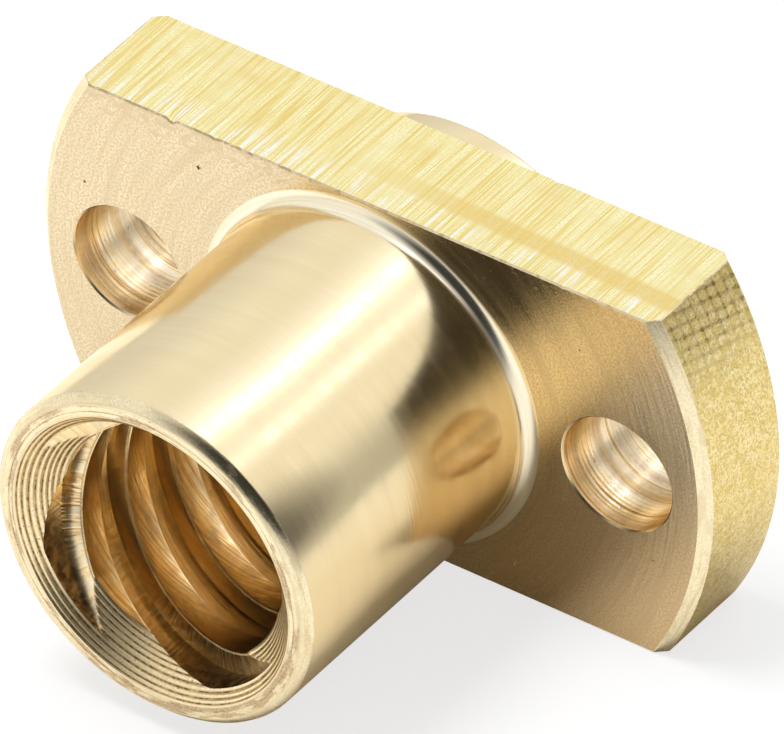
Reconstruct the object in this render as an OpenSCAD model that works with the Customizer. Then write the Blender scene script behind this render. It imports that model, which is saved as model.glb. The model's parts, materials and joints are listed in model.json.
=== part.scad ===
// Flanged lead screw nut with a cut flange: one solid turned, milled, drilled and threaded from brass bar.
// The bore runs along Y with the barrel towards -Y, and the two milled flats of the flange face up and down.
// The origin is on the bore's axis, in the plane of the flange face that the barrel stands on.

/* [Barrel] */
// Outside diameter of the barrel
barrel_d = 10.2; // [9.6:0.1:10.8]
// Length of the barrel beyond the flange
barrel_len = 9.8; // [4:0.2:25]
// Chamfer round the barrel's outer end
barrel_chamfer = 0.25; // [0.1:0.05:0.5]
// Radius of the fillet where the barrel meets the flange
barrel_fillet = 0.4; // [0.1:0.05:1]

/* [Flange] */
// Diameter of the flange before its sides are milled flat
flange_d = 21.8; // [21:0.2:32]
// Thickness of the flange
flange_t = 3.6; // [2:0.2:8]
// Width of the flange across its two milled flats
flats_w = 11.2; // [10.8:0.2:18]
// Chamfer on both edges of the flange's round rim
flange_chamfer = 0.3; // [0.1:0.05:0.8]

/* [Rear boss] */
// Diameter of the locating boss on the back of the flange
boss_d = 10.4; // [9.6:0.1:10.8]
// Height of the boss above the back of the flange
boss_len = 1.2; // [0.8:0.2:6]
// Chamfer round the boss's outer end
boss_chamfer = 0.3; // [0.1:0.05:0.5]
// Radius of the fillet where the boss meets the flange
boss_fillet = 0.2; // [0.1:0.05:0.4]

/* [Bolt holes] */
// Diameter of the circle that the bolt holes lie on
bolt_circle_d = 16; // [15:0.25:17.5]
// Diameter of each bolt hole
bolt_hole_d = 3.5; // [2.5:0.1:4.5]

/* [Lead thread] */
// Nominal diameter of the lead screw
screw_d = 8; // [7:0.1:8.2]
// Distance between neighbouring thread grooves along the axis
thread_pitch = 2; // [1.5:0.1:2.5]
// Number of starts of the thread
thread_starts = 4; // [1:1:5]
// Slope of each flank of the thread from square to the axis
flank_angle = 15; // [5:1:20]
// Radial clearance between the screw's crests and the roots of the nut's grooves
crest_clearance = 0.1; // [0.05:0.05:0.3]
// Axial play between the screw and the nut
backlash = 0.2; // [0:0.05:0.3]
// Angle round the axis at which the first groove passes the flange face
thread_phase = 66.5; // [0:0.5:90]

/* [Bore] */
// Diameter of the bore between the thread's crests
bore_d = 7; // [6.2:0.1:7.4]
// Diameter of the countersink at the barrel's end
mouth_d = 8.9; // [8.6:0.1:9.4]
// Diameter of the countersink at the boss's end
rear_mouth_d = 8.9; // [8.6:0.1:9.4]
// Full angle of both countersinks
mouth_angle = 90; // [60:5:110]

/* [Hidden] */

$fn = 96;
barrel_r = barrel_d / 2;
flange_r = flange_d / 2;
boss_r = boss_d / 2;
rear_z = -flange_t - boss_len;          // end face of the boss, along the turning axis
bolt_holes = 2;                         // one on each side of the barrel, where the flange is long

thread_lead = thread_pitch * thread_starts;
bore_r = bore_d / 2;
major_r = screw_d / 2 + crest_clearance;
pitch_r = (screw_d - thread_pitch / 2) / 2;
mouth_depth = (mouth_d / 2 - bore_r) / tan(mouth_angle / 2);
rear_mouth_depth = (rear_mouth_d / 2 - bore_r) / tan(mouth_angle / 2);

cut_over = 1;                           // how far cutters run past what they cut
groove_inner_r = bore_r - 0.2;          // the groove cutter starts inside the bore
groove_step = 18;                       // turn between two sections of the groove cutter, in degrees
groove_turns = (barrel_len - rear_z + 2 * cut_over) / thread_lead;
groove_rings = ceil(groove_turns * 360 / groove_step);
groove_start = rear_z - cut_over;       // where the cutter begins along the axis

// Half the groove's width along the axis, at a given radius.
function groove_half_w(r) = (thread_pitch / 2 + backlash) / 2 - (r - pitch_r) * tan(flank_angle);

// Corners of the groove's section in a plane through the axis: [radius, place along the axis].
groove_section = [
    [groove_inner_r, -groove_half_w(groove_inner_r)],
    [major_r, -groove_half_w(major_r)],
    [major_r, groove_half_w(major_r)],
    [groove_inner_r, groove_half_w(groove_inner_r)],
];

function groove_z(turn) = groove_start + thread_lead * turn / 360;

// A concave quarter of a circle that fills the inner corner at [0, 0].
module fillet_section(r) {
    difference() {
        square(r);
        translate([r, r]) circle(r);
    }
}

// Half-section of the turned blank, with its bore and both countersinks: X is the radius, Y the axis.
module turned_section() {
    polygon([
        [bore_r, rear_z + rear_mouth_depth],
        [rear_mouth_d / 2, rear_z],
        [boss_r - boss_chamfer, rear_z],
        [boss_r, rear_z + boss_chamfer],
        [boss_r, -flange_t],
        [flange_r - flange_chamfer, -flange_t],
        [flange_r, -flange_t + flange_chamfer],
        [flange_r, -flange_chamfer],
        [flange_r - flange_chamfer, 0],
        [barrel_r, 0],
        [barrel_r, barrel_len - barrel_chamfer],
        [barrel_r - barrel_chamfer, barrel_len],
        [mouth_d / 2, barrel_len],
        [bore_r, barrel_len - mouth_depth],
    ]);
    translate([barrel_r, 0]) fillet_section(barrel_fillet);
    translate([boss_r, -flange_t]) mirror([0, 1]) fillet_section(boss_fillet);
}

// The space between the two flats that milling leaves of the flange.
module flats_slab() {
    slab_len = barrel_len - rear_z + 2 * cut_over;
    translate([-flange_r - cut_over, -flats_w / 2, rear_z - cut_over])
        cube([flange_d + 2 * cut_over, flats_w, slab_len]);
}

module bolt_hole_cutters() {
    for (i = [0 : bolt_holes - 1])
        rotate([0, 0, i * 360 / bolt_holes])
            translate([bolt_circle_d / 2, 0, -flange_t - cut_over])
                cylinder(d = bolt_hole_d, h = flange_t + 2 * cut_over);
}

// One helical trapezoidal groove, swept through the whole bore.
module groove_cutter() {
    corners = len(groove_section);
    points = [
        for (i = [0 : groove_rings], p = groove_section)
            let (turn = i * groove_step)
            [p[0] * cos(turn), p[0] * sin(turn), groove_z(turn) + p[1]]
    ];
    sides = [
        for (i = [0 : groove_rings - 1], j = [0 : corners - 1])
            let (a = i * corners + j, b = i * corners + (j + 1) % corners)
            each [[a, b, b + corners], [a, b + corners, a + corners]]
    ];
    first_cap = [for (j = [corners - 1 : -1 : 0]) j];
    last_cap = [for (j = [0 : corners - 1]) groove_rings * corners + j];
    polyhedron(points, concat([first_cap], sides, [last_cap]));
}

module lead_thread_cutters() {
    first_turn = thread_phase + groove_start * 360 / thread_lead;
    for (i = [0 : thread_starts - 1])
        rotate([0, 0, first_turn + i * 360 / thread_starts]) groove_cutter();
}

module nut_body() {
    color("gold")
        rotate([90, 0, 0])
            difference() {
                intersection() {
                    rotate_extrude() turned_section();
                    flats_slab();
                }
                bolt_hole_cutters();
                lead_thread_cutters();
            }
}

nut_body();
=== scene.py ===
import json
import math

import bpy
import bmesh
import numpy as np
from mathutils import Matrix, Vector
from mathutils.geometry import delaunay_2d_cdt, tessellate_polygon


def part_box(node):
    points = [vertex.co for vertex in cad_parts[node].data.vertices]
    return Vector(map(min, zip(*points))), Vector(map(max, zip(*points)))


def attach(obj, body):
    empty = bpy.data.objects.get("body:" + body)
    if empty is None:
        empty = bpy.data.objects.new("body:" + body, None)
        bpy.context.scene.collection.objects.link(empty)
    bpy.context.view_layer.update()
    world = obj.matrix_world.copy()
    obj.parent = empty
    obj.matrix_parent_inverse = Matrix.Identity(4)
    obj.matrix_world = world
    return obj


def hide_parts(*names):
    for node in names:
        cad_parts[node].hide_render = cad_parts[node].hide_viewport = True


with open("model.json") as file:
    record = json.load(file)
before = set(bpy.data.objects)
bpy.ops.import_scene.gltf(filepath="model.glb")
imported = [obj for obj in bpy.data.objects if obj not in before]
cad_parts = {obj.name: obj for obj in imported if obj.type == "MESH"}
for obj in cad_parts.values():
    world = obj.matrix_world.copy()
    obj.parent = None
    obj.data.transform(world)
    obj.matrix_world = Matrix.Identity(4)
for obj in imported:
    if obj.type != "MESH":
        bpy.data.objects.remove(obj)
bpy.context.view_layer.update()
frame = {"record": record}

scene = bpy.context.scene
mounts = {m["name"]: m for m in frame["record"]["mounts"]}
boxLow, boxHigh = (1000 * np.array(c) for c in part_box("nut_body"))
mm = 0.001                            # shapes are worked out in mm and scaled to metres where they are joined
print("frame loaded, nut box in mm:", boxLow.round(3), boxHigh.round(3))

nut = {
    "frontY": boxLow[1],              # barrel's outer end
    "rearY": boxHigh[1],              # boss's outer end
    "flangeR": boxHigh[0],
    "flatZ": boxHigh[2],
    "barrelR": mounts["barrel_spigot"]["dims"]["r_mm"],
    "bossR": mounts["rear_spigot"]["dims"]["r_mm"],
    "flangeBack": 1000 * mounts["flange_back"]["pos_m"][1],
    "holeR": mounts["flange_bolts"]["dims"]["hole_r_mm"],
    "holeX": mounts["flange_bolts"]["dims"]["pcd_mm"] / 2,
    "boreR": mounts["lead_thread"]["dims"]["r_mm"],
    "mouthR": 4.45,                   # outer edge of each countersink
    "barrelFillet": 0.4,
    "barrelChamfer": 0.25,
    "bossFillet": 0.2,
    "bossChamfer": 0.3,
    "rimChamfer": 0.3,
    "deburr": 0.05,                   # broken edge on the flats and the holes
    "columns": 540,                   # points round each turned ring
    "weld": 0.0002,                   # points closer than this become one
    "sharpAngle": 36,                 # edges that turn by more degrees are shaded sharp
}

patches = []                          # [points in mm, faces, finish]


def addPatch(points, faces, finish):
    patches.append((np.asarray(points, float).reshape(-1, 3), faces, finish))


def ringOf(r, y, count=None):
    a = np.arange(count or nut["columns"]) * 2 * math.pi / (count or nut["columns"])
    return np.stack([r * np.cos(a), np.full_like(a, y), r * np.sin(a)], 1)


def stripFaces(rows, count):
    faces = []
    for i in range(rows - 1):
        low, high = i * count, (i + 1) * count
        for j in range(count):
            k = (j + 1) % count
            faces.append((low + j, low + k, high + k, high + j))
    return faces


def addLoops(loops, finish):
    addPatch(np.concatenate(loops), stripFaces(len(loops), len(loops[0])), finish)


turning = {
    # points that round the sharp corners: how far each is from the corner, in radius and in depth from the end
    "lip": [(-0.02, 0.02), (0.005, 0.004), (0.04, 0.0)],                    # edge of each countersink
    "barrelCorners": [[(-0.03, 0.0), (0.01, 0.01)], [(-0.02, -0.03), (0.0, 0.02)]],     # both ends of a chamfer
    "bossCorners": [[(-0.02, 0.0), (0.03, 0.02)], [(-0.02, -0.03), (0.0, 0.02)]],
    # radius and depth of the points across the barrel's end face, where two rings are scored
    "scored": [(4.58, 0.0), (4.61, 0.014), (4.64, 0.0), (4.76, 0.0), (4.785, 0.012)],
    "barrelRows": (0.66, 0.33),       # rings between the barrel's ends, as shares of its length
    "barrelFilletSteps": 10,
    "bossFilletSteps": 6,
}


def turned(profile, finish):
    addLoops([ringOf(r, y) for r, y in profile], finish)


def arcProfile(cx, cy, radius, startDeg, endDeg, steps):
    a = np.radians(np.linspace(startDeg, endDeg, steps + 1))
    return [(cx + radius * math.cos(t), cy + radius * math.sin(t)) for t in a]


def chamferProfile(radius, endY, inward, size, corners):
    inner, outer = corners
    return ([(radius - size + dr, endY + inward * d) for dr, d in inner]
            + [(radius + dr, endY + inward * (size + d)) for dr, d in outer])


def buildTurnedSkin():
    front, mouth, r, k = nut["frontY"], nut["mouthR"], nut["barrelR"], nut["barrelFillet"]
    lip = [(mouth + dr, front + d) for dr, d in turning["lip"]]
    chamfer = chamferProfile(r, front, 1, nut["barrelChamfer"], turning["barrelCorners"])
    turned(lip, "turned")
    turned([lip[-1]] + [(ring, front + d) for ring, d in turning["scored"]] + [chamfer[0]], "rimFace")
    turned(chamfer, "chamfer")
    turned([chamfer[-1]] + [(r, front * share) for share in turning["barrelRows"]] + [(r, -k)], "polished")
    turned(arcProfile(r + k, -k, k, 180, 90, turning["barrelFilletSteps"]), "fillet")

    rear, back, r, k = nut["rearY"], nut["flangeBack"], nut["bossR"], nut["bossFillet"]
    lip = [(mouth + dr, rear - d) for dr, d in turning["lip"]]
    chamfer = chamferProfile(r, rear, -1, nut["bossChamfer"], turning["bossCorners"])
    turned(arcProfile(r + k, back + k, k, 270, 180, turning["bossFilletSteps"]), "fillet")
    turned([(r, back + k), chamfer[-1]], "polished")
    turned(chamfer[::-1], "chamfer")
    turned([chamfer[0], lip[-1]], "rimFace")
    turned(lip[::-1], "turned")
    print("turned skin:", len(patches), "patches")


flange = {
    "arcSteps": 140,
    "flatSteps": 270,
    "edgeRows": 24,                   # rings of points through the flange's thickness
    "cornerCut": 0.03,                # where the round rim meets the flats
    "cornerPull": 0.35,               # how far a cut corner still bulges towards the sharp one
    "millWave": 0.004,                # height of the cutter's marks across the flats
    "millWaves": 26,                  # waves that the marks are made of
    "millFreq": (4, 34),              # the waves' radians per mm
    "millGain": 2.2,                  # brings the waves' mean back to full height
    "passStep": 0.01,                 # step between two passes of the cutter
    "passY": 1.25,                    # where the passes meet, its slope along x, and the width of the step
    "passSlope": 0.035,
    "passFade": 0.3,
    "holeSteps": 96,
    "holeRows": 92,
    "drillFeed": 0.15,                # distance between the drill's grooves, and their depth
    "drillDepth": 0.005,
    "drillFade": 0.2,                 # how far from a hole's ends the drill's grooves fade
    # small dents along the upper flat's edges: x, y, radius, depth
    "nicks": [(-6.3, 0.0, 0.16, 0.10), (-8.9, 0.0, 0.10, 0.05), (-4.9, 0.0, 0.12, 0.04),
              (-3.7, 0.0, 0.09, 0.03), (2.6, 2.25, 0.10, 0.05), (3.7, 3.6, 0.20, 0.05),
              (6.4, 0.0, 0.10, 0.03), (-7.6, 0.0, 0.08, 0.04)],
    # small dents in the front face: x, z, radius, depth
    "pits": [(-5.45, 4.35, 0.07, 0.05), (2.36, 3.84, 0.05, 0.04), (-9.3, 2.2, 0.05, 0.03),
             (-7.4, -2.9, 0.06, 0.03), (6.9, 3.7, 0.045, 0.03), (9.1, -2.4, 0.05, 0.03),
             (4.6, -4.6, 0.06, 0.03)],
    "pitSteps": 14,
    "pitWobble": 0.25,                # how far a pit's outline is from round
    "pitFloor": 0.45,                 # radius of a pit's floor as a share of its own
    "pitTip": 1.1,                    # depth at the middle as a share of the floor's
}


def millHeight(x, y, side):
    rng = np.random.default_rng(11 if side > 0 else 12)
    freq = rng.uniform(*flange["millFreq"], flange["millWaves"])
    phase = rng.uniform(0, 6.28, flange["millWaves"])
    drift = rng.uniform(-0.5, 0.5, flange["millWaves"])
    wave = np.sin(x[..., None] * freq + phase + y[..., None] * drift).mean(-1) * flange["millGain"]
    fade = np.clip((y - flange["passY"] + flange["passSlope"] * x) / flange["passFade"], 0, 1)
    return -flange["millWave"] * (1 - wave) * 0.5 - flange["passStep"] * (1 - fade) * (side > 0)


def outline(r, h, y):
    cut = flange["cornerCut"]
    alpha = math.asin(h / r)
    xc = r * math.cos(alpha)
    arc = np.linspace(-alpha + cut / r, alpha - cut / r, flange["arcSteps"] + 1)
    right = np.stack([r * np.cos(arc), r * np.sin(arc)], 1)
    xs = np.linspace(xc - cut, -xc + cut, flange["flatSteps"] + 1)
    top = np.stack([xs, h + millHeight(xs, np.full_like(xs, y), 1)], 1)
    bottom = np.stack([-xs, -h - millHeight(-xs, np.full_like(xs, y), -1)], 1)
    left = -right

    def corner(a, b, sx, sz):
        mid = (a + b) / 2
        return (mid + flange["cornerPull"] * (np.array([sx * xc, sz * h]) - mid))[None]

    loop = np.concatenate([right, corner(right[-1], top[0], 1, 1), top, corner(top[-1], left[0], -1, 1),
                           left, corner(left[-1], bottom[0], -1, -1),
                           bottom, corner(bottom[-1], right[0], 1, -1)])
    return np.stack([loop[:, 0], np.full(len(loop), y), loop[:, 1]], 1)


def buildFlangeEdge():
    r, h, back, c, d = nut["flangeR"], nut["flatZ"], nut["flangeBack"], nut["rimChamfer"], nut["deburr"]
    rows = [(r - c, h - d, 0.0), (r - c + d, h, d), (r, h, c)]
    rows += [(r, h, y) for y in np.linspace(c, back - c, flange["edgeRows"])[1:]]
    rows += [(r - c + d, h, back - d), (r - c, h - d, back)]
    loops = [outline(*row) for row in rows]
    for loop in loops:
        for x, y, width, depth in flange["nicks"]:
            reach = np.hypot(loop[:, 0] - x, loop[:, 1] - y) / width
            onTop = loop[:, 2] > 0.9 * h
            loop[:, 2] -= depth * np.clip(1 - reach * reach, 0, 1) * onTop
    nArc, nFlat = flange["arcSteps"] + 1, flange["flatSteps"] + 1
    n = len(loops[0])
    corners = [nArc, nArc + 1 + nFlat, 2 * nArc + 2 + nFlat, 2 * nArc + 3 + 2 * nFlat]
    faces = {"rim": [], "milled": [], "chamfer": [], "edge": []}
    for number, face in enumerate(stripFaces(len(loops), n)):
        row, col = divmod(number, n)
        onArc = col < nArc or nArc + 1 + nFlat <= col < 2 * nArc + 1 + nFlat
        if col in corners or col + 1 in corners:
            finish = "edge"
        elif onArc:
            finish = "chamfer" if row in (0, 1, len(loops) - 3, len(loops) - 2) else "rim"
        else:
            finish = "edge" if row in (0, len(loops) - 2) else "milled"
        faces[finish].append(face)
    points = np.concatenate(loops)
    for finish, made in faces.items():
        addPatch(points, made, finish)
    return loops[0], loops[-1]


def holeRing(x, r, y):
    return ringOf(r, y, flange["holeSteps"]) + np.array([x, 0, 0])


def holeRims(y):
    return [holeRing(side * nut["holeX"], nut["holeR"] + nut["deburr"], y) for side in (1, -1)]


def buildHole(x):
    r, d, back = nut["holeR"], nut["deburr"], nut["flangeBack"]
    addLoops([holeRing(x, r + d, 0), holeRing(x, r, d)], "drilled")
    ys = np.linspace(d, back - d, flange["holeRows"])
    feed = (ys / flange["drillFeed"]) % 1 - 0.5
    fade = np.clip(np.minimum(ys - d, back - d - ys) / flange["drillFade"], 0, 1)
    groove = flange["drillDepth"] * (1 - 4 * feed * feed) * fade
    addLoops([holeRing(x, r + g, y) for y, g in zip(ys, groove)], "drilled")
    addLoops([holeRing(x, r, back - d), holeRing(x, r + d, back)], "drilled")


def fillFace(y, loops, pits, finish):
    loops = list(loops)
    n = flange["pitSteps"]
    for x, z, r, depth in pits:
        rim = ringOf(r, y, n) + np.array([x, 0, z])
        wobble = 1 + flange["pitWobble"] * np.sin(np.arange(n) * 2.1 + x * 7)
        rim[:, [0, 2]] = np.array([x, z]) + (rim[:, [0, 2]] - np.array([x, z])) * wobble[:, None]
        inner = rim * flange["pitFloor"] + np.array([x, y, z]) * (1 - flange["pitFloor"])
        inner[:, 1] = y + depth
        tip = np.array([[x, y + depth * flange["pitTip"], z]])
        faces = stripFaces(2, n) + [(n + i, n + (i + 1) % n, 2 * n) for i in range(n)]
        addPatch(np.concatenate([rim, inner, tip]), faces, finish)
        loops.append(rim)
    flat = [[Vector((p[0], p[2], 0)) for p in loop] for loop in loops]
    addPatch(np.concatenate(loops), tessellate_polygon(flat), finish)


def buildFlange():
    front, rear = buildFlangeEdge()
    for side in (1, -1):
        buildHole(side * nut["holeX"])
    back = nut["flangeBack"]
    fillFace(0.0, [front, ringOf(nut["barrelR"] + nut["barrelFillet"], 0.0)] + holeRims(0.0), flange["pits"],
             "faced")
    fillFace(back, [rear, ringOf(nut["bossR"] + nut["bossFillet"], back)] + holeRims(back), [], "faced")
    print("flange:", len(flange["nicks"]), "nicks,", len(flange["pits"]), "pits")


thread = {
    "starts": 4,
    "pitch": 2.0,
    "lead": 8.0,
    "rootR": 4.1,
    "rootHalf": 0.439,                # half the groove's width at its root
    "flankSlope": math.tan(math.radians(15)),
    "phase": 66.5,                    # angle of a groove where it passes the flange's front face
    "crestRound": 0.05,               # rounding of the edges between crests and grooves
    "crestLines": ((0.05, 0.0), (0.0, 0.045)),         # extra lines of points: below the crest, and beside it
    "shallowest": 0.06,               # depth of groove at which the extra lines end
    "endPoints": 28,                  # points across each end of a groove's root
    "turnStep": 1.5,                  # degrees between points along a groove's edges
    "flatR": 4.0,                     # radius at which the bore's skin is laid flat to be cut into triangles
    "seam": 20.0,                     # angle at which it is opened
}

cone = {
    "feed": 0.115,                    # distance between the turning tool's grooves
    "feedWave": (0.13, 9),            # unevenness of the feed, and how fast it changes with depth
    "grooveDepth": 0.016,
    "firstRow": 0.02,                 # depth of the first ring of points, at the lip
    "rowStep": 0.023,
    "fade": (0.04, 0.03),             # heights over which the grooves fade at the inner end and at the lip
    "bend": 0.03,                     # rings of points this far before and after the cone's inner end
    "clear": 0.06,                    # no ring of points comes this near a thread groove's edge
    "rearStep": 1.25,                 # how much further apart the rings are in the rear countersink
}


def smoothWall(y):
    depth = np.minimum(y - nut["frontY"], nut["rearY"] - y)
    return np.maximum(nut["mouthR"] - depth, nut["boreR"])


def wallRadius(y):
    depth = np.minimum(y - nut["frontY"], nut["rearY"] - y)
    plain = smoothWall(y)
    uneven, rate = cone["feedWave"]
    f = (depth / cone["feed"] + uneven * np.sin(depth * rate)) % 1 - 0.5
    inner, outer = cone["fade"]
    fade = np.clip((plain - nut["boreR"]) / inner, 0, 1) * np.clip((depth - cone["firstRow"]) / outer, 0, 1)
    return plain + cone["grooveDepth"] * (1 - 4 * f * f) * fade


def grooveOffset(theta, y):
    centre = (thread["phase"] - theta) * thread["lead"] / 360
    p = thread["pitch"]
    return (y - centre + p / 2) % p - p / 2


def boreRadius(theta, y):
    wall = wallRadius(y)
    u = np.abs(grooveOffset(theta, y))
    groove = thread["rootR"] - np.maximum(u - thread["rootHalf"], 0) / thread["flankSlope"]
    k = thread["crestRound"]
    h = np.maximum(k - np.abs(wall - groove), 0) / k
    aboveRoot = groove < thread["rootR"] - 0.02
    return np.maximum(wall, groove) + h * h * k / 4 * aboveRoot


def openHalf(y, lift=0.0):
    return thread["rootHalf"] + (thread["rootR"] - smoothWall(y) - lift) * thread["flankSlope"]


def grooveAngle(y, u, start):
    return thread["phase"] + 360 / thread["starts"] * start - (y - u) * 360 / thread["lead"]


def grooveLines(yRootA, yRootB):      # lines that the triangles follow: each groove's sides and its two ends
    step = thread["turnStep"] * thread["lead"] / 360
    ys = np.linspace(yRootA, yRootB, int(round((yRootB - yRootA) / step)) + 1)
    lines = []
    for start in range(thread["starts"]):
        for side in (-1, 1):
            lines.append((grooveAngle(ys, side * openHalf(ys), start), ys))
            lines.append((grooveAngle(ys, side * thread["rootHalf"], start), ys))
            for lift, extra in thread["crestLines"]:
                near = ys[smoothWall(ys) + lift < thread["rootR"] - thread["shallowest"]]
                lines.append((grooveAngle(near, side * (openHalf(near, lift) + extra), start), near))
        for yEnd in (yRootA, yRootB):
            a, b = (grooveAngle(yEnd, side * thread["rootHalf"], start) for side in (-1, 1))
            t = np.linspace(a, b, thread["endPoints"])
            lines.append((t, np.full_like(t, yEnd)))
    return lines


def buildBore():
    k = math.radians(1) * thread["flatR"]              # arc length of a degree, in mm
    seam = thread["seam"]
    x0, x1 = seam * k, (seam + 360) * k
    depthRoot = nut["mouthR"] - thread["rootR"]
    points, index, edges, seamY = [], {}, [], set()

    def vertex(x, y):
        key = (round(x, 5), round(y, 5))
        if key not in index:
            index[key] = len(points)
            points.append(key)
        return index[key]

    for theta, y in grooveLines(nut["frontY"] + depthRoot, nut["rearY"] - depthRoot):
        for turn in range(-5, 6):                      # whole turns that bring every line into the laid skin
            x = (theta + 360 * turn) * k
            if x.max() < x0 or x.min() > x1:
                continue
            last = None
            for i in range(len(x)):
                inside = x0 <= x[i] <= x1
                if i and inside != (x0 <= x[i - 1] <= x1):
                    edgeX = x0 if min(x[i], x[i - 1]) < x0 else x1
                    f = (edgeX - x[i - 1]) / (x[i] - x[i - 1])
                    yc = round(y[i - 1] + f * (y[i] - y[i - 1]), 5)
                    seamY.add(yc)
                    v = vertex(edgeX, yc)
                    if inside:
                        last = v
                    elif last is not None and v != last:
                        edges.append((last, v))
                        last = None
                if inside:
                    v = vertex(x[i], y[i])
                    if last is not None and v != last:
                        edges.append((last, v))
                    last = v
                else:
                    last = None

    cols = np.arange(nut["columns"] + 1) * 360 / nut["columns"]
    depthBore = nut["mouthR"] - nut["boreR"]
    bend, clear, step = cone["bend"], cone["clear"], cone["rowStep"]
    for rowStep, base, sign in ((step, nut["frontY"], 1), (step * cone["rearStep"], nut["rearY"], -1)):
        rows = list(np.arange(cone["firstRow"], depthBore - bend, rowStep))
        rows += [depthBore - bend, depthBore, depthBore + bend]
        for n, d in enumerate(rows):
            y = round(base + sign * d, 5)
            theta = cols if n == 0 or sign > 0 else cols[::2]
            gap = np.abs(grooveOffset(seam + theta, y)) - openHalf(y)
            ahead = d < depthRoot - 0.015              # nearer the end face than any groove reaches
            for t, g in zip(theta, gap):
                if n == 0 or ahead or g > clear:
                    vertex((seam + t) * k, y)
            if ahead or gap[0] > clear:
                seamY.add(y)
    for y in sorted(seamY):
        vertex(x0, y)
        vertex(x1, y)
    for x in (x0, x1):
        chain = [index[(round(x, 5), round(y, 5))] for y in sorted(seamY)]
        edges += list(zip(chain[:-1], chain[1:]))

    out = delaunay_2d_cdt([Vector(p) for p in points], edges, [], 0, 1e-6)
    flat = np.array([(v.x, v.y) for v in out[0]])
    theta, y = flat[:, 0] / k, flat[:, 1]
    r = boreRadius(theta, y)
    a = np.radians(theta)
    made = np.stack([r * np.cos(a), y, r * np.sin(a)], 1)
    faces = {"cone": [], "bore": []}
    for tri in out[2]:
        ym, rm = y[list(tri)].mean(), r[list(tri)].mean()
        depth = min(ym - nut["frontY"], nut["rearY"] - ym)
        onCone = depth < depthBore and rm < nut["mouthR"] - depth + bend
        faces["cone" if onCone else "bore"].append(tuple(tri))
    for finish, tris in faces.items():
        addPatch(made, tris, finish)
    print("bore:", len(points), "points,", len(out[2]), "triangles")


finishes = ["polished", "turned", "rimFace", "chamfer", "edge", "fillet",
            "faced", "milled", "rim", "drilled", "cone", "bore"]


def joinPatches(name):
    points, faces, marks, base = [], [], [], 0
    for p, f, finish in patches:
        points.append(p)
        faces += [tuple(base + i for i in face) for face in f]
        marks += [finishes.index(finish)] * len(f)
        base += len(p)
    points = np.concatenate(points) * mm
    mesh = bpy.data.meshes.new(name)
    mesh.from_pydata(points.tolist(), [], faces)
    mesh.polygons.foreach_set("material_index", marks)
    work = bmesh.new()
    work.from_mesh(mesh)
    bmesh.ops.remove_doubles(work, verts=work.verts, dist=nut["weld"] * mm)
    loose = [v for v in work.verts if not v.link_faces]
    bmesh.ops.delete(work, geom=loose, context="VERTS")
    bmesh.ops.recalc_face_normals(work, faces=work.faces)
    openEdges = sum(1 for e in work.edges if len(e.link_faces) != 2)
    volume = round(work.calc_volume() / mm ** 3, 1)
    print("open edges:", openEdges, "volume mm3:", volume, "faces:", len(work.faces))
    work.edges.index_update()
    crisp = []                        # sides of the broken edges, so that each keeps its own shading
    for e in work.edges:
        beside = {finishes[f.material_index] for f in e.link_faces}
        if len(beside) == 2 and "edge" in beside:
            crisp.append(e.index)
    work.to_mesh(mesh)
    work.free()
    mesh.polygons.foreach_set("use_smooth", [True] * len(mesh.polygons))
    mesh.set_sharp_from_angle(angle=math.radians(nut["sharpAngle"]))
    for index in crisp:
        mesh.edges[index].use_edge_sharp = True
    made = bpy.data.objects.new(name, mesh)
    scene.collection.objects.link(made)
    return made


buildTurnedSkin()
buildFlange()
buildBore()
nutPiece = joinPatches("nut")
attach(nutPiece, "root")
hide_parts("nut_body")


def place(tree, kind, inputs=None, **settings):
    node = tree.nodes.new(kind)
    for key, value in settings.items():
        setattr(node, key, value)
    for socket, value in (inputs or {}).items():
        if isinstance(value, bpy.types.NodeSocket):
            tree.links.new(value, node.inputs[socket])
        else:
            node.inputs[socket].default_value = value
    return node


def calc(tree, operation, a, b=0.0, c=0.0):
    return place(tree, "ShaderNodeMath", {0: a, 1: b, 2: c}, operation=operation).outputs[0]


def times(tree, a, b):
    return calc(tree, "MULTIPLY", a, b)


def larger(tree, a, b):
    return calc(tree, "MAXIMUM", a, b)


def remap(tree, value, fromLow, fromHigh, toLow, toHigh):
    made = place(tree, "ShaderNodeMapRange", {"Value": value, "From Min": fromLow, "From Max": fromHigh,
                                              "To Min": toLow, "To Max": toHigh}, clamp=True)
    return made.outputs["Result"]


def noise(tree, vector, scale=1.0, detail=2.0, rough=0.5):
    made = place(tree, "ShaderNodeTexNoise", {"Vector": vector, "Scale": scale, "Detail": detail,
                                              "Roughness": rough})
    return made.outputs["Fac"]


def combine(tree, x, y, z):
    return place(tree, "ShaderNodeCombineXYZ", {0: x, 1: y, 2: z}).outputs[0]


def radiusOf(tree, x, z):
    return calc(tree, "SQRT", calc(tree, "MULTIPLY_ADD", x, x, times(tree, z, z)))


def oneMinus(tree, share):
    return calc(tree, "SUBTRACT", 1.0, share)


def scaled(tree, vector, factor):
    return place(tree, "ShaderNodeVectorMath", {0: vector, "Scale": factor}, operation="SCALE").outputs[0]


def mixNumbers(tree, share, a, b):
    return place(tree, "ShaderNodeMix", {0: share, 2: a, 3: b}).outputs[0]


def mixColours(tree, share, a, b):
    return place(tree, "ShaderNodeMix", {0: share, 6: a, 7: b}, data_type="RGBA").outputs[2]


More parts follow.
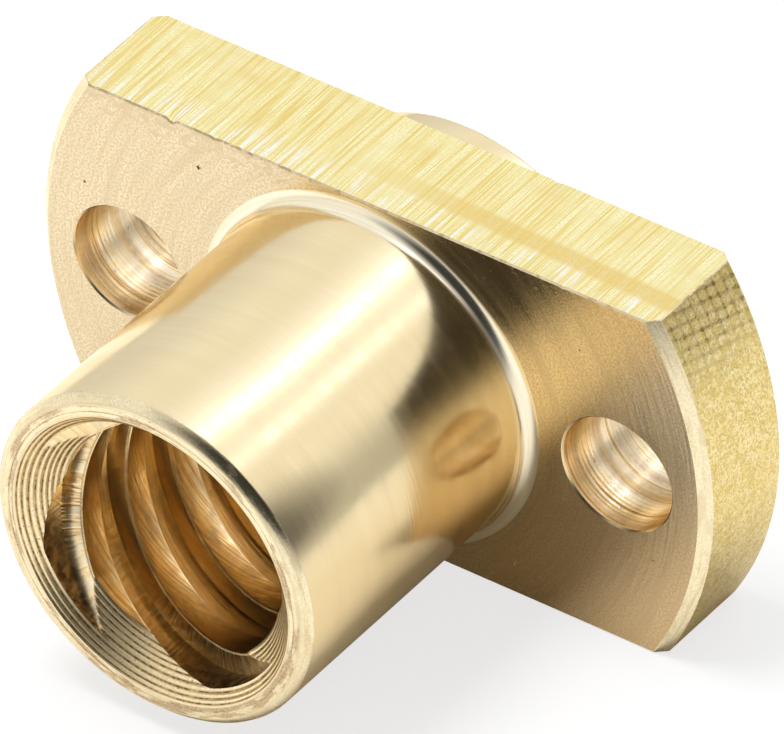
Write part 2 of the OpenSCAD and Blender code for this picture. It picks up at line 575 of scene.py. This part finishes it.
def startGroup(name, inputs, outputs):
    tree = bpy.data.node_groups.new(name, "ShaderNodeTree")
    for label, value in inputs.items():
        tree.interface.new_socket(label, in_out="INPUT", socket_type="NodeSocketFloat").default_value = value
    for label in outputs:
        tree.interface.new_socket(label, in_out="OUTPUT", socket_type="NodeSocketFloat")
    coords = place(tree, "ShaderNodeTexCoord").outputs["Object"]
    split = place(tree, "ShaderNodeSeparateXYZ", {0: scaled(tree, coords, 1 / mm)})
    return tree, place(tree, "NodeGroupInput").outputs, split.outputs


def endGroup(tree, **values):
    result = place(tree, "NodeGroupOutput").inputs
    for label, value in values.items():
        tree.links.new(value, result[label])
    return tree


# where marks lie, in mm: each pair is where one starts and where it ends its fade
marksAt = {
    # painted warmer, darker reflection on the barrel's +X side: where it lies
    "paintedReflectionBarrelX": (0.5, 2.0),
    "paintedReflectionBarrelTop": (1.0, 2.4),
    "paintedReflectionBarrelUnder": (-1.8, -0.6),
    "paintedReflectionBarrelY": (-5.0, -3.2),
    # painted warmer, darker reflection towards the lower right of both flange faces: where it lies
    "paintedReflectionFlangeX": (1.0, 4.0),
    "paintedReflectionFlangeZ": (2.0, -2.0),
    "stainUnderTop": (4.3, 5.3),      # z, on the flange's faces
    "stainUnderTopX": (-3.2, -1.5),
    "betweenPasses": (0.22, 0.42),    # from the line between two passes of the cutter
    "betweenPassesX": (-3.0, 3.0),
    "scratchY": (0.5, 1.2),
    "hatchZ": (2.9, 4.7),
    "hatchX": (0.0, 1.0),
    "ribbedDepth": (2.4, 3.6),        # from the barrel's end, in the thread
    # painted shade in the thread's groove roots near the mouth, darker towards the bottom: where it lies
    "paintedShadeDepth": (0.5, 1.7),
    "paintedShadeZ": (-0.1, -0.6),
    "paintedDarkLowFace": (2.8, 4.6),       # painted dark reflection towards the lower side of the barrel's end face
}
# rings scored on the narrow end faces: radius, width, least strength
scoredMarks = [(4.62, 0.03, 0.3), (4.85, 0.045, 0.5), (nut["mouthR"] + 0.03, 0.03, 0.2)]
lineRange = (0.3, 0.7)                # parts of the noise's range that lines and bands are drawn from
bandRange = (0.35, 0.65)


# every group gives values from 0 to 1 that change over the surface; Fineness is in lines per mm

def ringLineGroup():                  # turning marks along the barrel and the boss; a painted warmer, darker reflection lies on the barrel's +X side
    tree, given, (x, y, z) = startGroup("ringLines", {"Fineness": 8.0, "Drift": 0.15},
                                        ["Lines", "Bands", "Patina"])
    side = [times(tree, v, given["Drift"]) for v in (x, z)]
    fineY = times(tree, y, given["Fineness"])
    wideY = times(tree, y, times(tree, given["Fineness"], 0.16))
    fine = noise(tree, combine(tree, side[0], fineY, side[1]), 1.0, 2.5, 0.6)
    wide = noise(tree, combine(tree, side[0], wideY, side[1]))
    # painted warmer, darker reflection on the barrel's +X side, at middle heights, fading out towards the
    # flange
    level = times(tree, remap(tree, z, *marksAt["paintedReflectionBarrelTop"], 1, 0),
                  remap(tree, z, *marksAt["paintedReflectionBarrelUnder"], 0, 1))
    beside = times(tree, remap(tree, x, *marksAt["paintedReflectionBarrelX"], 0, 1), level)
    return endGroup(tree, Lines=remap(tree, fine, *lineRange, 0, 1),
                    Bands=remap(tree, wide, *bandRange, 0, 1),
                    Patina=times(tree, beside, remap(tree, y, *marksAt["paintedReflectionBarrelY"], 0.9, 0)))


def arcLineGroup():                   # turning marks on the flange's faces, stains under its top edge, and a painted warmer, darker reflection towards the faces' lower right
    tree, given, (x, y, z) = startGroup("arcLines", {"Fineness": 8.0, "Drift": 0.3},
                                        ["Lines", "Bands", "Patina"])
    radius = radiusOf(tree, x, z)
    side = [times(tree, v, given["Drift"]) for v in (x, z)]
    fineR = times(tree, radius, given["Fineness"])
    wideR = times(tree, radius, times(tree, given["Fineness"], 0.2))
    fine = noise(tree, combine(tree, fineR, *side), 1.0, 3.0, 0.65)
    wide = noise(tree, combine(tree, wideR, *side))
    dirty = noise(tree, combine(tree, x, y, times(tree, z, 1.6)), 3.0, 3.0, 0.65)
    under = times(tree, remap(tree, z, *marksAt["stainUnderTop"], 0, 1),
                  remap(tree, x, *marksAt["stainUnderTopX"], 1, 0.25))
    stains = remap(tree, calc(tree, "MULTIPLY_ADD", under, 0.19, dirty), 0.64, 0.74, 0, 1.9)
    # painted warmer, darker reflection towards the lower right of the flange's faces
    paintedReflectionLowRight = times(tree, remap(tree, x, *marksAt["paintedReflectionFlangeX"], 0, 1),
                     remap(tree, z, *marksAt["paintedReflectionFlangeZ"], 0, 1))
    return endGroup(tree, Lines=remap(tree, fine, *lineRange, 0, 1),
                    Bands=larger(tree, remap(tree, wide, *bandRange, 0, 0.8), stains), Patina=paintedReflectionLowRight)


def millLineGroup():                  # the cutter's marks along the thickness of the flats
    tree, given, (x, y, z) = startGroup("millLines", {"Fineness": 8.0, "Slant": 0.01, "Length": 3.0},
                                        ["Lines", "Bands", "Scratches"])
    across = calc(tree, "MULTIPLY_ADD", y, given["Slant"], x)
    along = calc(tree, "DIVIDE", y, given["Length"])
    fine = noise(tree, combine(tree, times(tree, across, given["Fineness"]), along, z), 1.0, 1.5, 0.7)
    few = noise(tree, combine(tree, times(tree, across, 6.0), times(tree, y, 0.3), 7.0), 1.0, 1.0, 0.5)
    cloud = noise(tree, combine(tree, times(tree, x, 0.7), times(tree, y, 1.4), z), 1.0, 2.0)
    drift = calc(tree, "MULTIPLY_ADD", x, flange["passSlope"], y)
    offPass = calc(tree, "ABSOLUTE", calc(tree, "SUBTRACT", drift, flange["passY"] + 0.05))
    between = times(tree, remap(tree, offPass, *marksAt["betweenPasses"], 1, 0),
                    remap(tree, x, *marksAt["betweenPassesX"], 0, 1))
    return endGroup(tree, Lines=remap(tree, fine, 0.34, 0.66, 0, 1),
                    Bands=larger(tree, between, remap(tree, cloud, 0.5, 0.8, 0, 0.7)),
                    Scratches=times(tree, remap(tree, few, 0.53, 0.6, 0, 1),
                                    remap(tree, y, *marksAt["scratchY"], 1, 0)))


def hatchGroup():                     # chatter marks where the round rim meets the upper flat
    tree, given, (x, y, z) = startGroup("hatch", {"Fineness": 2.7}, ["Lines", "Bands"])
    arc = times(tree, calc(tree, "ARCTAN2", z, x), nut["flangeR"])
    turn = times(tree, given["Fineness"], 2 * math.pi)
    rows = calc(tree, "SINE", times(tree, calc(tree, "MULTIPLY_ADD", y, 0.25, arc), turn))
    columns = calc(tree, "SINE", times(tree, y, turn))
    grid = calc(tree, "ADD", rows, columns)
    patchy = noise(tree, combine(tree, x, y, z), 2.2, 2.0)
    near = times(tree, remap(tree, z, *marksAt["hatchZ"], 0, 1), remap(tree, x, *marksAt["hatchX"], 0, 1))
    drawn = larger(tree, remap(tree, rows, 0.2, 0.9, 0, 0.8), remap(tree, columns, 0.3, 0.95, 0, 0.65))
    mark = times(tree, larger(tree, drawn, remap(tree, grid, 0.2, 1.3, 0, 1)),
                 remap(tree, patchy, 0.3, 0.5, 0.35, 1))
    mottle = noise(tree, combine(tree, x, y, z), 3.0, 4.0, 0.7)
    return endGroup(tree, Lines=remap(tree, mottle, 0.38, 0.62, 0, 1),
                    Bands=larger(tree, times(tree, mark, near), remap(tree, mottle, 0.5, 0.36, 0, 0.35)))


def feedRingGroup():                  # the turning tool's grooves round both countersinks
    tree, given, (x, y, z) = startGroup("feedRings", {"Fineness": 8.0}, ["Lines", "Bands"])
    depth = calc(tree, "MINIMUM", calc(tree, "SUBTRACT", y, float(nut["frontY"])),
                 calc(tree, "SUBTRACT", float(nut["rearY"]), y))
    uneven, rate = cone["feedWave"]
    wave = times(tree, calc(tree, "SINE", times(tree, depth, rate)), uneven)
    ring = calc(tree, "FRACT", calc(tree, "ADD", calc(tree, "DIVIDE", depth, cone["feed"]), wave))
    off = calc(tree, "ABSOLUTE", calc(tree, "SUBTRACT", ring, 0.5))
    patchy = noise(tree, combine(tree, x, y, z), times(tree, given["Fineness"], 0.3), 2.0)
    grooves = times(tree, remap(tree, off, 0.08, 0.26, 1, 0), remap(tree, patchy, 0.3, 0.5, 0.6, 1))
    return endGroup(tree, Lines=remap(tree, off, 0.22, 0.42, 0, 1), Bands=grooves)


def threadLineGroup():                # lines along the thread, with ribs near its mouth, and painted shade in the groove roots there, darker towards the bottom
    tree, given, (x, y, z) = startGroup("threadLines", {"Fineness": 8.0, "Drift": 0.5}, ["Lines", "Bands"])
    front, bore = nut["frontY"], nut["boreR"]
    radius = radiusOf(tree, x, z)
    angle = calc(tree, "ARCTAN2", z, x)
    climb = calc(tree, "MULTIPLY_ADD", angle, thread["lead"] / (2 * math.pi), y)
    centred = calc(tree, "ADD", climb, -thread["phase"] * thread["lead"] / 360)
    wrapped = calc(tree, "WRAP", centred, thread["pitch"] / 2, -thread["pitch"] / 2)
    cosine, sine = calc(tree, "DIVIDE", x, radius), calc(tree, "DIVIDE", z, radius)
    along = [times(tree, v, given["Drift"]) for v in (cosine, sine)]
    shift = calc(tree, "MULTIPLY_ADD", y, 0.35, along[1])
    crest = remap(tree, radius, bore + 0.04, bore + 0.1, 1, 0)
    lineAt = times(tree, mixNumbers(tree, crest, wrapped, times(tree, y, 1.1)), given["Fineness"])
    fine = noise(tree, combine(tree, lineAt, along[0], shift), 1.0, 3.0, 0.65)
    wide = noise(tree, combine(tree, times(tree, wrapped, 2.2), times(tree, cosine, 3.0), shift), 1.0, 2.0)
    ribAt = combine(tree, times(tree, angle, 34.0), radius, times(tree, wrapped, 0.8))
    ribs = noise(tree, ribAt, 1.0, 1.0, 0.5)
    ribbed = remap(tree, y, *(front + d for d in marksAt["ribbedDepth"]), 1, 0)
    lines = mixNumbers(tree, times(tree, ribbed, oneMinus(tree, crest)),
                       remap(tree, fine, *lineRange, 0, 1), remap(tree, ribs, 0.4, 0.6, 0.2, 1))
    # painted shade in the groove roots near the mouth, darker towards the bottom of the bore
    mouth = times(tree, remap(tree, y, *(front + d for d in marksAt["paintedShadeDepth"]), 1.0, 0.25),
                  remap(tree, z, *marksAt["paintedShadeZ"], 0.1, 1))
    paintedRootShade = times(tree, remap(tree, radius, bore + 0.15, thread["rootR"] - 0.1, 0, 1), mouth)
    return endGroup(tree, Lines=lines, Bands=larger(tree, remap(tree, wide, 0.46, 0.62, 0, 0.4), paintedRootShade))


def mouthRingGroup():                 # scored rings and arcs on the narrow faces round the bore's two ends, and stains that grow towards the lower side as a painted dark reflection
    tree, given, (x, y, z) = startGroup("mouthRings", {"Fineness": 9.0}, ["Lines", "Bands"])
    radius = radiusOf(tree, x, z)
    sides = [times(tree, v, 0.5) for v in (x, z)]
    fine = noise(tree, combine(tree, times(tree, radius, given["Fineness"]), *sides), 1.0, 3.0, 0.65)
    patchy = noise(tree, combine(tree, times(tree, radius, 2.0), *sides), 1.6, 3.0, 0.6)
    lower = calc(tree, "MULTIPLY_ADD", x, 0.4, times(tree, z, -0.92))
    # stains pushed towards the lower side of the barrel's end: a painted dark reflection
    onEnd = remap(tree, radius, nut["barrelR"] + 0.1, nut["barrelR"] + 0.2, 1, 0)
    paintedDarkBelow = times(tree, remap(tree, lower, *marksAt["paintedDarkLowFace"], 0, 0.1), onEnd)
    marks = remap(tree, calc(tree, "ADD", patchy, paintedDarkBelow), 0.5, 0.6, 0, 0.75)
    for at, width, least in scoredMarks:
        off = calc(tree, "ABSOLUTE", calc(tree, "SUBTRACT", radius, at))
        marks = larger(tree, marks, times(tree, remap(tree, off, width * 0.4, width, 1, 0),
                                          remap(tree, patchy, 0.35, 0.55, least, 1)))
    return endGroup(tree, Lines=remap(tree, fine, *lineRange, 0, 1), Bands=marks)


def speckleGroup():                   # small dark specks, and the grain that breaks up lines
    tree, given, (x, y, z) = startGroup("speckle", {"Size": 0.2, "Cover": 0.3}, ["Specks", "Grain"])
    at = combine(tree, *[calc(tree, "DIVIDE", v, given["Size"]) for v in (x, y, z)])
    fine = noise(tree, at, 1.0, 3.0, 0.6)
    level = calc(tree, "SUBTRACT", 0.8, times(tree, given["Cover"], 0.5))
    return endGroup(tree, Specks=remap(tree, fine, level, calc(tree, "ADD", level, 0.14), 0, 1),
                    Grain=remap(tree, fine, 0.38, 0.6, 0.1, 1))


groups = {"ring": ringLineGroup(), "arc": arcLineGroup(), "mill": millLineGroup(),
          "thread": threadLineGroup(), "hatch": hatchGroup(), "feed": feedRingGroup(),
          "mouth": mouthRingGroup(), "speckle": speckleGroup()}
print("node groups:", len(groups))

# fineness in lines per mm, bump in mm, rough from the smooth to the scratched places, turning is the stretch
# of the gloss round the axis, specks their size in mm and their cover, grain how far they break up the lines.
# stroke is how far the lines go to the pale colour, and the stain and shade share how far the marks, stains and
# painted shade among them, go to the dark one;
# score and mottle are the same for the gaps between lines and for the grain.
# where a look has a painted warmer, darker reflection, its share and its colour come last; metal is the share
# of metal where it isn't all
brassLooks = {
    # polished: a painted warmer, darker reflection on the barrel's +X side is mixed in at the share and colour
    # given last
    "polished": {"colour": (0.88, 0.725, 0.43), "pale": (0.93, 0.80, 0.56), "dark": (0.62, 0.44, 0.20),
                 "lines": "ring", "fineness": 11.0, "bump": 0.0005, "rough": (0.13, 0.2), "turning": 0.5,
                 "specks": (0.18, 0.25), "grain": 0.3, "stroke": 0.25, "score": 0.05, "stainAndShade": 0.12,
                 "mottle": 0.0, "paintedReflection": 0.6, "reflectedColour": (0.62, 0.44, 0.20)},
    "turned": {"colour": (0.88, 0.74, 0.46), "pale": (0.95, 0.86, 0.62), "dark": (0.50, 0.34, 0.16),
               "lines": "ring", "fineness": 9.0, "bump": 0.001, "rough": (0.2, 0.3), "turning": 0.3,
               "specks": (0.2, 0.3), "grain": 0.5, "stroke": 0.3, "score": 0.3, "stainAndShade": 0.3, "mottle": 0.05},
    "fillet": {"colour": (0.90, 0.80, 0.56), "pale": (1.0, 0.96, 0.84), "dark": (0.60, 0.42, 0.20),
               "lines": "ring", "fineness": 16.0, "bump": 0.0022, "rough": (0.14, 0.24), "turning": 0.3,
               "specks": (0.2, 0.15), "grain": 0.3, "stroke": 0.6, "score": 0.35, "stainAndShade": 0.12,
               "mottle": 0.0},
    # rimFace and chamfer: the dark colour also gives the painted dark reflection at the lower side of the
    # barrel's end
    "rimFace": {"colour": (0.93, 0.79, 0.48), "pale": (1.0, 0.93, 0.70), "dark": (0.30, 0.13, 0.04),
                "lines": "mouth", "fineness": 9.0, "bump": 0.004, "rough": (0.22, 0.4), "turning": 0.2,
                "specks": (0.07, 0.4), "grain": 0.5, "stroke": 0.6, "score": 0.25, "stainAndShade": 0.9,
                "mottle": 0.14},
    "chamfer": {"colour": (0.90, 0.77, 0.48), "pale": (1.0, 0.93, 0.70), "dark": (0.38, 0.20, 0.07),
                "lines": "mouth", "fineness": 11.0, "bump": 0.003, "rough": (0.2, 0.36), "turning": 0.2,
                "specks": (0.07, 0.4), "grain": 0.6, "stroke": 0.5, "score": 0.3, "stainAndShade": 0.4,
                "mottle": 0.2},
    "edge": {"colour": (0.92, 0.78, 0.50), "pale": (1.0, 0.94, 0.72), "dark": (0.34, 0.19, 0.07),
             "lines": "arc", "fineness": 3.0, "bump": 0.0, "rough": (0.65, 0.8), "turning": 0.0,
             "specks": (0.3, 0.6), "grain": 1.0, "stroke": 0.4, "score": 0.0, "stainAndShade": 0.6, "mottle": 0.3,
             "metal": 0.5},
    # faced: a painted warmer, darker reflection towards the lower right of both faces is mixed in at the share
    # and colour given last
    "faced": {"colour": (0.83, 0.69, 0.44), "pale": (0.97, 0.87, 0.65), "dark": (0.40, 0.24, 0.10),
              "lines": "arc", "fineness": 13.0, "bump": 0.003, "rough": (0.17, 0.30), "turning": 0.2,
              "specks": (0.07, 0.45), "grain": 1.0, "stroke": 0.6, "score": 0.12, "stainAndShade": 0.40,
              "mottle": 0.5, "paintedReflection": 0.5, "reflectedColour": (0.60, 0.36, 0.12)},
    "milled": {"colour": (0.90, 0.73, 0.24), "pale": (1.0, 0.97, 0.64), "dark": (0.80, 0.58, 0.18),
               "lines": "mill", "fineness": 18.0, "bump": 0.003, "rough": (0.25, 0.42), "turning": 0.0,
               "specks": (0.08, 0.3), "grain": 0.4, "stroke": 1.0, "score": 0.5, "stainAndShade": 0.8,
               "mottle": 0.15},
    "rim": {"colour": (0.88, 0.68, 0.24), "pale": (0.97, 0.84, 0.50), "dark": (0.16, 0.09, 0.02),
            "lines": "hatch", "fineness": 2.9, "bump": 0.006, "rough": (0.28, 0.42), "turning": 0.2,
            "specks": (0.09, 0.4), "grain": 0.6, "stroke": 0.7, "score": 0.0, "stainAndShade": 0.95, "mottle": 0.42},
    "drilled": {"colour": (0.95, 0.69, 0.28), "pale": (1.0, 0.96, 0.84), "dark": (0.30, 0.15, 0.05),
                "lines": "ring", "fineness": 9.0, "bump": 0.003, "rough": (0.2, 0.34), "turning": 0.0,
                "specks": (0.2, 0.4), "grain": 0.4, "stroke": 1.0, "score": 0.9, "stainAndShade": 0.7, "mottle": 0.1},
    "cone": {"colour": (0.94, 0.70, 0.35), "pale": (1.0, 0.92, 0.63), "dark": (0.13, 0.055, 0.015),
             "lines": "feed", "fineness": 8.0, "bump": 0.005, "rough": (0.3, 0.46), "turning": 0.0,
             "specks": (0.10, 0.4), "grain": 0.5, "stroke": 1.0, "score": 0.0, "stainAndShade": 0.95, "mottle": 0.15},
    # bore: the dark colour also gives the painted shade in the groove roots near the mouth
    "bore": {"colour": (1.0, 0.71, 0.33), "pale": (1.0, 0.90, 0.64), "dark": (0.10, 0.04, 0.012),
             "lines": "thread", "fineness": 11.0, "bump": 0.005, "rough": (0.16, 0.34), "turning": 0.0,
             "specks": (0.3, 0.25), "grain": 0.7, "stroke": 0.85, "score": 0.3, "stainAndShade": 0.9, "mottle": 0.1},
}
glossTint = (1.0, 0.94, 0.82, 1)
scratchColour = (1.0, 0.99, 0.88, 1)


def makeBrass(name, look):
    material = bpy.data.materials.new(name + "Brass")
    material.use_nodes = True
    tree = material.node_tree
    shader = tree.nodes["Principled BSDF"]
    shader.inputs["Metallic"].default_value = look.get("metal", 1.0)
    shader.inputs["Specular Tint"].default_value = glossTint
    shader.inputs["Anisotropic"].default_value = look["turning"]
    size, cover = look["specks"]
    lines = place(tree, "ShaderNodeGroup", {"Fineness": look["fineness"]},
                  node_tree=groups[look["lines"]]).outputs
    specks = place(tree, "ShaderNodeGroup", {"Size": size, "Cover": cover}, node_tree=groups["speckle"]).outputs
    through = remap(tree, specks["Grain"], 0, 1, 1 - look["grain"], 1)
    bright = times(tree, times(tree, lines["Lines"], through), look["stroke"])
    low = times(tree, remap(tree, lines["Lines"], 0, 0.45, 1, 0), look["score"] / look["stainAndShade"])
    grain = remap(tree, specks["Grain"], 0.2, 1, look["mottle"] / look["stainAndShade"], 0)
    marks = larger(tree, times(tree, lines["Bands"], through), calc(tree, "ADD", low, grain))
    marks = calc(tree, "MINIMUM", larger(tree, marks, specks["Specks"]), 1.0)
    tint = mixColours(tree, bright, (*look["colour"], 1), (*look["pale"], 1))
    # painted reflection mixed into the colour, where a look has one
    if "paintedReflection" in look:
        tint = mixColours(tree, times(tree, lines["Patina"], look["paintedReflection"]), tint, (*look["reflectedColour"], 1))
    if "Scratches" in lines:
        tint = mixColours(tree, lines["Scratches"], tint, scratchColour)
    # stains, wear and painted shade take the surface to the dark colour
    wornAndShaded = mixColours(tree, times(tree, marks, look["stainAndShade"]), tint, (*look["dark"], 1))
    tree.links.new(wornAndShaded, shader.inputs["Base Color"])
    tree.links.new(remap(tree, lines["Bands"], 0, 1, *look["rough"]), shader.inputs["Roughness"])
    height = calc(tree, "MULTIPLY_ADD", specks["Specks"], -0.5, lines["Lines"])     # specks are small dips
    bump = place(tree, "ShaderNodeBump", {"Height": height, "Distance": look["bump"] * mm, "Strength": 1.0})
    tree.links.new(bump.outputs["Normal"], shader.inputs["Normal"])
    if look["turning"]:
        around = place(tree, "ShaderNodeTangent", direction_type="RADIAL", axis="Y")
        tree.links.new(around.outputs["Tangent"], shader.inputs["Tangent"])
    return material


for finish in finishes:
    nutPiece.data.materials.append(makeBrass(finish, brassLooks[finish]))
print("finishes:", len(finishes))

view = {
    "aim": (0.47, 0.34, 0.02),        # mm
    "azimuth": 37.09,
    "elevation": 38.69,
    "roll": -1.95,
    "distance": 540.0,                # mm
    "lens": 937.7,
}

az, el, roll = (math.radians(view[k]) for k in ("azimuth", "elevation", "roll"))
backward = Vector((math.sin(az) * math.cos(el), -math.cos(az) * math.cos(el), math.sin(el)))
camera = bpy.data.objects.new("camera", bpy.data.cameras.new("camera"))
camera.data.lens = view["lens"]
camera.data.clip_end = 10
stand = Matrix.Translation((Vector(view["aim"]) + backward * view["distance"]) * mm)
turnIn = backward.to_track_quat("Z", "Y").to_matrix().to_4x4()
camera.matrix_world = stand @ turnIn @ Matrix.Rotation(roll, 4, "Z")
scene.collection.objects.link(camera)
scene.camera = camera

studio = {
    "floorReach": 2,                  # metres from the middle of the floor to each side
    "floorColour": (0.9, 0.9, 0.9, 1),
    "floorGlow": (0.74, 0.02),        # shares of white in what the camera and the metal see of the floor
    "floorShade": 0.4,                # share of the room's light that matt surfaces lack: deeper shadows
    "lamps": {                        # width and depth in metres, power, direction, distance in metres
        "softbox": (0.20, 0.16, 0.12, (0.12, 0.63, 0.76), 0.34),
        "overhead": (0.16, 0.16, 1.38, (-0.26, -0.10, 0.95), 0.4),
    },
    # light from behind the nut, by angle over the bore's axis from +X in degrees: level, share of blue added
    "bands": {0: (0.58, 0), 16: (0.58, 0), 27: (0.9, 0), 39: (1.12, 0), 50: (1.0, 0), 58: (0.98, 0),
              62: (2.2, 0.25), 66: (1.03, 0.1), 74: (1.08, 0.1), 81: (1.15, 0.1), 86: (3.6, 0.15),
              91: (1.25, 0.2), 98: (1.2, 0.2), 113: (0.93, 0), 130: (1.06, 0.05), 150: (0.88, 0.1),
              172: (0.8, 0.1)},
    "headroom": 1.5,                  # keeps the bands' colours below 1 until they are scaled up
    "bandsFrom": (-0.15, 0.35),       # how far towards +Y the plain white of the room turns into the bands
    # dark parts of the room: direction, flattening, cosines where each is full and where it ends, depth
    "dark": [((0.41, -0.76, 0.50), 1.0, 0.90, 0.60, 0.96), ((1.0, -0.1, 0.25), 1.6, 0.90, 0.76, 0.75)],
    "horizon": 0.12,                  # height over which the dark parts rise from the horizon
}

reach = studio["floorReach"]
corners = [(x * reach, y * reach, boxLow[2] * mm) for x, y in ((-1, -1), (1, -1), (1, 1), (-1, 1))]
floorMesh = bpy.data.meshes.new("floor")
floorMesh.from_pydata(corners, [], [(0, 1, 2, 3)])
floor = bpy.data.objects.new("floor", floorMesh)
scene.collection.objects.link(floor)

white = (1, 1, 1, 1)
floorLook = bpy.data.materials.new("floorWhite")
floorLook.use_nodes = True
tree = floorLook.node_tree
tree.nodes.clear()
matt = place(tree, "ShaderNodeBsdfDiffuse", {"Color": studio["floorColour"]})
glow = place(tree, "ShaderNodeEmission", {"Color": white, "Strength": 1.0})
path = place(tree, "ShaderNodeLightPath").outputs
mirrored = larger(tree, path["Is Glossy Ray"], path["Is Transmission Ray"])
toCamera, toMetal = studio["floorGlow"]
seen = calc(tree, "MULTIPLY_ADD", path["Is Camera Ray"], toCamera, times(tree, mirrored, toMetal))
blend = place(tree, "ShaderNodeMixShader", {0: seen, 1: matt.outputs[0], 2: glow.outputs[0]})
place(tree, "ShaderNodeOutputMaterial", {"Surface": blend.outputs[0]})
floorMesh.materials.append(floorLook)

brightest = max(level for level, blue in studio["bands"].values()) * studio["headroom"]
world = bpy.data.worlds.new("studio")
scene.world = world
world.use_nodes = True
tree = world.node_tree
direction = place(tree, "ShaderNodeTexCoord").outputs["Generated"]
split = place(tree, "ShaderNodeSeparateXYZ", {0: direction}).outputs
over = calc(tree, "DIVIDE", calc(tree, "ARCTAN2", split[2], split[0]), math.pi)
ramp = place(tree, "ShaderNodeValToRGB", {0: over})
ramp.color_ramp.interpolation = "B_SPLINE"
for n, (angle, (level, blue)) in enumerate(studio["bands"].items()):
    stop = ramp.color_ramp.elements[n] if n < 2 else ramp.color_ramp.elements.new(angle / 180)
    stop.position = angle / 180
    stop.color = (level / brightest, level * (1 + blue * 0.25) / brightest, level * (1 + blue) / brightest, 1)
behind = remap(tree, split[1], *studio["bandsFrom"], 0, 1)
light = mixColours(tree, behind, white, scaled(tree, ramp.outputs[0], brightest))
raised = remap(tree, split[2], 0.0, studio["horizon"], 0, 1)
for centre, flatten, full, edge, depth in studio["dark"]:
    aim = Vector((centre[0], centre[1], centre[2] * flatten)).normalized()
    squeezed = place(tree, "ShaderNodeVectorMath", {0: direction, 1: (1, 1, flatten)}, operation="MULTIPLY")
    unit = place(tree, "ShaderNodeVectorMath", {0: squeezed.outputs[0]}, operation="NORMALIZE")
    facing = place(tree, "ShaderNodeVectorMath", {0: unit.outputs[0], 1: aim}, operation="DOT_PRODUCT")
    shade = remap(tree, facing.outputs["Value"], edge, full, 0, depth)
    light = scaled(tree, light, oneMinus(tree, times(tree, shade, raised)))
path = place(tree, "ShaderNodeLightPath").outputs
plain = larger(tree, path["Is Camera Ray"], path["Is Transmission Ray"])
light = scaled(tree, light, oneMinus(tree, times(tree, path["Is Diffuse Ray"], studio["floorShade"])))
tree.links.new(mixColours(tree, plain, light, white), tree.nodes["Background"].inputs["Color"])

for name, (width, depth, power, away, distance) in studio["lamps"].items():
    lamp = bpy.data.objects.new(name, bpy.data.lights.new(name, "AREA"))
    lamp.data.shape = "RECTANGLE"
    lamp.data.size, lamp.data.size_y = width, depth
    lamp.data.energy = power
    at = Vector(away).normalized() * distance
    lamp.matrix_world = Matrix.Translation(at) @ at.to_track_quat("Z", "Y").to_matrix().to_4x4()
    lamp.visible_glossy = False       # the metal mirrors the room's own bands
    scene.collection.objects.link(lamp)
print("studio ready")

scene.view_settings.view_transform = "Standard"
